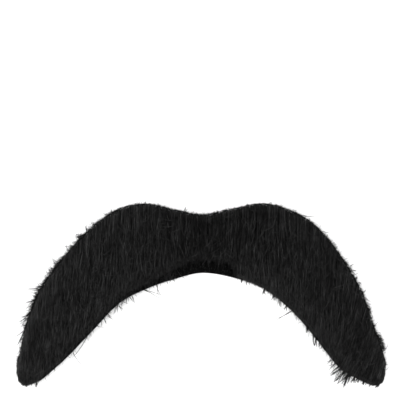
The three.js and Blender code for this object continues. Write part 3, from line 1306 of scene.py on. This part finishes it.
@dataclass
class StrayHairs:
    """Hairs that escaped the comb: fuzz along the edges, single hairs across the surface, tufts and short stubble."""

    form: Form
    finish: ModacrylicFibre = field(default_factory=lambda: ModacrylicFibre(dark="#0a0a0a", pale="#323232"))
    stations: int = 5
    fuzz_stations: int = 4
    fuzz: int = 3350
    fringe: int = 900
    fuzz_group: int = 2
    crossing: int = 640
    stubble: int = 180
    radius_mm: float = 0.08
    tuft_radius_mm: float = 0.105
    # How much paler the hairs lying over the surface are painted: a painted glint.
    crossing_glint: float = 1.35
    tufts: tuple[TuftRow, ...] = (
        TuftRow(-0.98, 0.1, -60, 1.5, 25, 8),
        TuftRow(-0.955, 0.02, -27, 7.0, 4, 4),
        TuftRow(-0.935, 0.02, -52, 5.2, 8, 5),
        TuftRow(-0.925, 0.02, -42, 3.2, 16, 10),
        TuftRow(-0.897, 0.02, -53, 5.4, 7, 4),
        TuftRow(-0.873, 0.01, -100, 5.0, 2, 2),
        TuftRow(-0.87, 0.02, -62, 2.8, 22, 10),
        TuftRow(-0.66, 0.01, -150, 2.6, 25, 12),
        TuftRow(-0.62, 0.01, 175, 2.9, 12, 6),
        TuftRow(-0.5, 0.01, -112, 2.4, 12, 5),
        TuftRow(-0.09, 0.01, 170, 2.2, 5, 4),
        TuftRow(-0.03, 0.01, 160, 1.1, 35, 8),
        TuftRow(0.06, 0.01, 150, 1.1, 35, 8),
        TuftRow(0.5, 0.01, 71, 8.2, 0, 2),
        TuftRow(0.9, 0.02, 55, 1.5, 20, 16),
        TuftRow(0.957, 0.02, 100, 2.0, 18, 40),
        TuftRow(0.969, 0.02, 82, 1.9, 18, 40),
        TuftRow(-0.703, 1.0, 17, 9.0, 1, 1),
        TuftRow(-0.603, 1.0, -19, 11.0, 1, 1),
        TuftRow(-0.6, 1.0, -20, 4.0, 35, 7),
        TuftRow(-0.53, 1.0, 10, 3.8, 40, 8),
        TuftRow(-0.46, 1.0, -10, 4.6, 32, 14),
        TuftRow(-0.39, 1.0, 25, 4.2, 35, 9),
        TuftRow(-0.342, 1.0, 76, 8.8, 2, 2),
        TuftRow(-0.247, 1.0, 4, 6.8, 2, 2),
        TuftRow(-0.18, 1.0, 10, 4.4, 32, 8),
        TuftRow(-0.15, 1.0, -35, 5.0, 15, 4),
        TuftRow(0.03, 0.86, 2, 4.4, 6, 3),
        TuftRow(0.337, 1.0, 0, 2.6, 3, 5),
        TuftRow(0.39, 1.0, 0, 2.5, 4, 5),
        TuftRow(0.46, 1.0, -25, 2.2, 10, 5),
        TuftRow(0.493, 1.0, -55, 8.4, 1, 2),
        TuftRow(0.575, 1.0, -8, 2.4, 6, 8),
        TuftRow(0.62, 1.0, -7, 3.6, 4, 10),
        TuftRow(0.66, 0.97, -20, 2.4, 8, 8),
        TuftRow(0.716, 0.98, -36, 3.4, 3, 4),
        TuftRow(0.738, 0.98, -42, 3.6, 2, 4),
        TuftRow(0.763, 0.98, -40, 6.0, 2, 7),
        TuftRow(0.753, 0.98, -48, 4.2, 2, 4),
        TuftRow(0.783, 0.98, -38, 6.2, 2, 9),
        TuftRow(0.803, 0.98, -30, 5.9, 2, 9),
        TuftRow(0.818, 0.98, -34, 4.0, 3, 7),
        TuftRow(0.833, 0.98, -24, 3.0, 4, 10),
        TuftRow(0.852, 0.98, -18, 2.2, 5, 8),
        TuftRow(0.88, 0.98, -10, 1.8, 6, 8),
        TuftRow(0.627, 0.58, 102, 11.5, 0, 2),
        TuftRow(0.86, 0.35, -35, 12.5, 3, 2),
        TuftRow(-0.06, 0.12, 12, 7.0, 20, 4),
        TuftRow(0.13, 0.2, -14, 7.0, 25, 3),
    )
    seed: int = 19

    def lying(
        self,
        x: np.ndarray,
        y: np.ndarray,
        heading: np.ndarray,
        length: np.ndarray,
        rng: np.random.Generator,
        lift: float,
        bend: float,
        radius: float | None = None,
    ) -> Strands:
        """Bent hairs that lie on the combed surface or stand a little off it.

        A hair runs along its heading, turned by its own curl. Its height follows the hair's surface, with an arch of
        up to lift that is a sine of the way along it.

        Args:
            x: the roots' x.
            y: the roots' y.
            heading: radians from straight down towards +X.
            length: their lengths.
            rng: where chance comes from.
            lift: how far they stand above the surface at most.
            bend: how far their headings turn by their ends, in radians.
            radius: how stout they are, where that isn't radius_mm.

        Returns:
            The hairs.
        """
        f, count = self.form, len(x)
        share = np.linspace(0, 1, self.stations)
        turned = heading[:, None] + rng.normal(0, bend, count)[:, None] * share
        run = length[:, None] * share
        px, py = x[:, None] + run * np.sin(turned), y[:, None] - run * np.cos(turned)
        held = f.held(px)
        inside = np.clip(np.minimum(f.upper(held) - py, py - f.ends(held)) / 1.5, 0, 1)
        surface = f.cloth_top(held) + f.fit_gap + f.depth(held, py) * (0.45 + 0.55 * inside)
        arch = lift * rng.uniform(0.2, 1.0, count)[:, None] * np.sin(math.pi * share * 0.8)
        return self.strands(np.stack([px, py, surface - 0.25 + arch], -1), heading, rng, radius or self.radius_mm)

    def standing(
        self,
        root: np.ndarray,
        heading: np.ndarray,
        climb: np.ndarray,
        length: np.ndarray,
        rng: np.random.Generator,
        stations: int,
    ) -> Strands:
        """Short hairs that stand free of the surface, each bent a little to one side and drooping at its end.

        Args:
            root: their roots, as x, y and z.
            heading: radians from straight down towards +X.
            climb: radians above level.
            length: their lengths.
            rng: where chance comes from.
            stations: how many places each hair's line has.

        Returns:
            The hairs.
        """
        share = np.linspace(0, 1, stations)
        turned = heading[:, None] + rng.normal(0, 0.5, len(heading))[:, None] * share
        run = length[:, None] * share
        rise = run * np.sin(climb)[:, None] - 0.2 * length[:, None] * share**2
        level = run * np.cos(climb)[:, None]
        line = root[:, None, :] + np.stack([level * np.sin(turned), -level * np.cos(turned), rise], -1)
        line[..., 2] = np.maximum(line[..., 2], 0.12)
        return self.strands(line, heading, rng, self.radius_mm)

    def strands(self, line: np.ndarray, heading: np.ndarray, rng: np.random.Generator, radius: float) -> Strands:
        """Tapering hairs of chance thickness and tone along given lines.

        Args:
            line: hairs by stations by 3.
            heading: radians from straight down towards +X.
            rng: where chance comes from.
            radius: their usual radius at the root.

        Returns:
            The hairs.
        """
        count = len(line)
        side = np.stack([np.cos(heading), np.sin(heading), np.zeros(count)], -1)
        taper = np.interp(np.linspace(0, 1, line.shape[1]), [0, 0.6, 1.0], [1.0, 0.9, 0.4])
        thick = radius * rng.uniform(0.8, 1.2, count)[:, None] * taper
        # Painted light that grows from root to end: the roots get painted shade.
        light = np.broadcast_to(0.1 + 0.9 * np.linspace(0, 1, line.shape[1]), thick.shape)
        return Strands(line, side, thick, light, rng.uniform(0.2, 1.0, count), rng.uniform(0, 6.28, count))

    def edge_fuzz(self, rng: np.random.Generator) -> Strands:
        """Short hairs that stand out all round the upper edge in small groups, from the cloth's side and its top.

        Args:
            rng: where chance comes from.

        Returns:
            The hairs.
        """
        f, groups = self.form, self.fuzz
        x = f.half * np.sin(rng.uniform(-RIM_TURN, RIM_TURN, groups))
        reach = 0.12 + f.comb("fuzz", x) * (rng.gamma(1.4, 0.6, groups) + 2.2 * (rng.random(groups) < 0.02))
        nx, ny = f.outward(x)
        outwards = np.arctan2(nx, -ny)
        apart = (f.lean(x, f.upper(x)) - outwards + math.pi) % (2 * math.pi) - math.pi
        heading = outwards + apart * rng.uniform(-0.05, 0.7, groups)
        height = rng.uniform(0.6, 2.6, groups)
        each = np.repeat(np.arange(groups), self.fuzz_group)
        count = len(each)
        inward = rng.uniform(0.0, 0.4, count)
        aside = rng.normal(0, 0.12, count)
        rx = x[each] - inward * nx[each] + aside * ny[each]
        ry = f.upper(x)[each] - inward * ny[each] - aside * nx[each]
        root = np.stack([rx, ry, f.rest(x)[each] + height[each] + rng.normal(0, 0.1, count)], -1)
        length = inward + reach[each] * rng.uniform(0.5, 1.0, count)
        climb = rng.uniform(-0.2, 0.7, groups)[each] + rng.normal(0, 0.12, count)
        heading = heading[each] + rng.normal(0, 0.22, count)
        return self.standing(root, heading, climb, length, rng, self.fuzz_stations)

    def trimmed_fringe(self, rng: np.random.Generator) -> Strands:
        """Single hairs that the scissors missed: they run past the lower edge, further where it is ragged.

        Args:
            rng: where chance comes from.

        Returns:
            The hairs.
        """
        f, count = self.form, self.fringe
        x = f.half * rng.uniform(-0.97, 0.97, count)
        ragged = f.comb("ragged", x)
        covered = 1 - np.clip(f.comb("bare", x), 0, 1)
        x = x[rng.random(count) < (0.3 + 0.7 * ragged / ragged.max()) * covered]
        count = len(x)
        y = f.ends(x) + rng.uniform(0.6, 2.0, count)
        heading = f.lean(x, y) + rng.normal(0, 0.35, count)
        length = y - f.lower(x) + (0.2 + 0.8 * f.comb("ragged", x)) * rng.exponential(0.75, count)
        return self.lying(x, y, heading, length, rng, 0.1, 0.5)

    def surface_strays(self, rng: np.random.Generator, pile: CombedPile) -> Strands:
        """Longer hairs that lie loosely over the combed surface.

        Args:
            rng: where chance comes from.
            pile: the combed hair that they lie on.

        Returns:
            The hairs.
        """
        x, y = pile.scattered(self.crossing, 0.77)
        heading = self.form.lean(x, y) + rng.normal(0, 0.6, self.crossing)
        length = np.minimum(rng.uniform(2.5, 7.0, self.crossing), np.maximum(y - self.form.ends(x), 1.0))
        lot = self.lying(x, y, heading, length, rng, 0.7, 0.7)
        # Painted glint: these hairs are painted paler than the pile.
        lot.tone = lot.tone * self.crossing_glint
        return lot

    def band_stubble(self, rng: np.random.Generator) -> Strands:
        """Stumps of hair on the bare band of cloth in the middle of the lower edge.

        Args:
            rng: where chance comes from.

        Returns:
            The hairs.
        """
        f, count = self.form, self.stubble
        x = rng.uniform(-0.22, 0.2, count) * f.half
        y = f.lower(x) + (f.hem(x) - f.lower(x)) * rng.uniform(0.1, 1.0, count)
        root = np.stack([x, y, f.cloth_top(x) - 0.1], -1)
        heading, climb, length = rng.normal(0, 0.6, count), rng.uniform(0.2, 1.0, count), rng.uniform(0.4, 1.0, count)
        return self.standing(root, heading, climb, length, rng, self.stations)

    def standing_tufts(self, rng: np.random.Generator) -> Strands:
        """The tufts of the table, as one lot.

        Args:
            rng: where chance comes from.

        Returns:
            The hairs.
        """
        f = self.form
        across = np.concatenate([np.full(t.hairs, t.across) for t in self.tufts])
        down = np.concatenate([np.full(t.hairs, t.down) for t in self.tufts])
        heading = np.radians(np.concatenate([rng.normal(t.heading, t.spread, t.hairs) for t in self.tufts]))
        uneven = [0.35 * min(t.spread / 10, 1.0) for t in self.tufts]
        length = np.concatenate([t.length * rng.uniform(1 - u, 1.0, t.hairs) for t, u in zip(self.tufts, uneven)])
        loose = 0.08 + 0.012 * np.concatenate([np.full(t.hairs, t.spread) for t in self.tufts])
        x = across * f.half + loose * rng.standard_normal(len(across))
        x = np.clip(x, 0.2 - f.half, f.half - 0.2)
        y = f.upper(x) - (f.upper(x) - f.hem(x)) * down + loose * rng.standard_normal(len(across))
        y = np.clip(y, f.hem(x) + 0.3, f.upper(x) - 0.3)
        lot = self.lying(x, y, heading, length, rng, 0.4, 0.25, self.tuft_radius_mm)
        # Painted glint: tufts over the surface are painted paler, those at the edges are not.
        lot.tone = lot.tone * np.where((down > 0.05) & (down < 0.8), self.crossing_glint, 1.0)
        return lot

    def dress(self, pile: CombedPile) -> list[bpy.types.Object]:
        """Makes one piece of the fuzz and one of all the other strays, and sets them on the frame.

        Args:
            pile: the combed hair that they escaped from.

        Returns:
            The two pieces.
        """
        rng, material = np.random.default_rng(self.seed), self.finish.material()
        fuzz, strays = self.edge_fuzz(rng), self.trimmed_fringe(rng)
        for lot in (self.surface_strays(rng, pile), self.band_stubble(rng), self.standing_tufts(rng)):
            strays = strays.joined(lot)
        made = [fuzz.mesh("edge_fuzz"), strays.mesh("stray_hairs")]
        for piece in made:
            piece.data.materials.append(material)
            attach(piece, "root")
            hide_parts("hair_pile")
        return made


@dataclass
class SoftLight:
    """One square soft light: where it hangs, how wide it is and its power, aimed at the moustache."""

    name: str
    place: tuple[float, float, float]
    size: float
    power: float

    def hang(self) -> bpy.types.Object:
        """Makes the light.

        Returns:
            The light.
        """
        data = bpy.data.lights.new(self.name, "AREA")
        data.shape, data.size, data.energy = "SQUARE", self.size, self.power
        light = bpy.data.objects.new(self.name, data)
        light.location = self.place
        light.rotation_euler = (-Vector(self.place)).to_track_quat("-Z", "Y").to_euler()
        bpy.context.scene.collection.objects.link(light)
        return light


@dataclass
class Studio:
    """A pale floor, soft light and a camera straight above, framed as the photograph is."""

    form: Form
    paper: MattPaper = field(default_factory=MattPaper)
    picture_px: float = 400.0
    span_px: float = 371.4
    middle_px: tuple[float, float] = (201.5, 244.2)
    lens_mm: float = 120.0
    hair_height_mm: float = 5.0
    floor_mm: float = 3000.0
    floor_lines: int = 9
    world: str = "#ffffff"
    world_strength: float = 1.1
    lights: tuple[SoftLight, ...] = (
        SoftLight("key", (-0.5, 0.1, 0.7), 0.4, 5.0),
        SoftLight("fill", (0.5, -0.2, 0.6), 0.6, 2.4),
    )

    def floor(self) -> bpy.types.Object:
        """Lays the paper floor just under the moustache, wide enough to fill every view.

        Returns:
            The floor.
        """
        reach = np.linspace(-1, 1, self.floor_lines) * self.floor_mm
        x, y = np.meshgrid(reach, reach, indexing="ij")
        places = np.stack([x, y, np.full_like(x, -0.02)], -1).reshape(-1, 3)
        at = np.arange(x.size).reshape(x.shape)
        faces = np.stack([at[:-1, :-1], at[1:, :-1], at[1:, 1:], at[:-1, 1:]], -1).reshape(-1, 4)
        made = mesh_object("studio_floor", places, [faces])
        made.data.materials.append(self.paper.material())
        return made

    def camera(self) -> bpy.types.Object:
        """Hangs the camera over the middle of the picture, at the height that gives the photograph's scale.

        Returns:
            The camera.
        """
        scale = self.form.span / self.span_px
        aim_x = (self.picture_px / 2 - self.middle_px[0]) * scale
        aim_y = (self.middle_px[1] - self.picture_px / 2) * scale
        data = bpy.data.cameras.new("camera")
        data.lens, data.sensor_width = self.lens_mm, 36.0
        wide = self.picture_px * scale
        height = wide * data.lens / data.sensor_width + self.hair_height_mm
        data.clip_start, data.clip_end = 0.01, 20.0
        made = bpy.data.objects.new("camera", data)
        made.location = (aim_x * MM, aim_y * MM, height * MM)
        bpy.context.scene.collection.objects.link(made)
        bpy.context.scene.camera = made
        return made

    def air(self) -> None:
        """Fills the studio with even white light and shows colours as they are."""
        scene = bpy.context.scene
        scene.world = bpy.data.worlds.new("studio")
        scene.world.use_nodes = True
        tree = scene.world.node_tree
        tree.nodes.clear()
        glow = add_node(
            tree, "ShaderNodeBackground", {"Color": linear(self.world), "Strength": self.world_strength}
        )
        add_node(tree, "ShaderNodeOutputWorld", {"Surface": glow.outputs["Background"]})
        scene.view_settings.view_transform = "Standard"
        scene.view_settings.look = "None"

    def set_up(self) -> None:
        """Makes the whole studio."""
        self.air()
        self.floor()
        for light in self.lights:
            light.hang()
        self.camera()


def report(piece: bpy.types.Object) -> None:
    """Logs a finished piece's name and its number of triangles.

    Args:
        piece: the piece.
    """
    mesh = piece.data
    triangles = len(mesh.loops) - 2 * len(mesh.polygons)
    LOG.info("%s: %d triangles", piece.name, triangles)


def main() -> None:
    """Builds the moustache from the lip outwards, then the studio round it."""
    logging.basicConfig(level=logging.INFO, format="%(name)s: %(message)s")
    form = Form()
    strip = AdhesiveStrip(form).dress()
    report(strip)
    report(BackingCloth(form).dress(strip))
    report(Undercoat(form).dress())
    pile = CombedPile(form)
    for piece in pile.dress() + StrayHairs(form).dress(pile):
        report(piece)
    Studio(form).set_up()


if __name__ == "__main__":
    main()
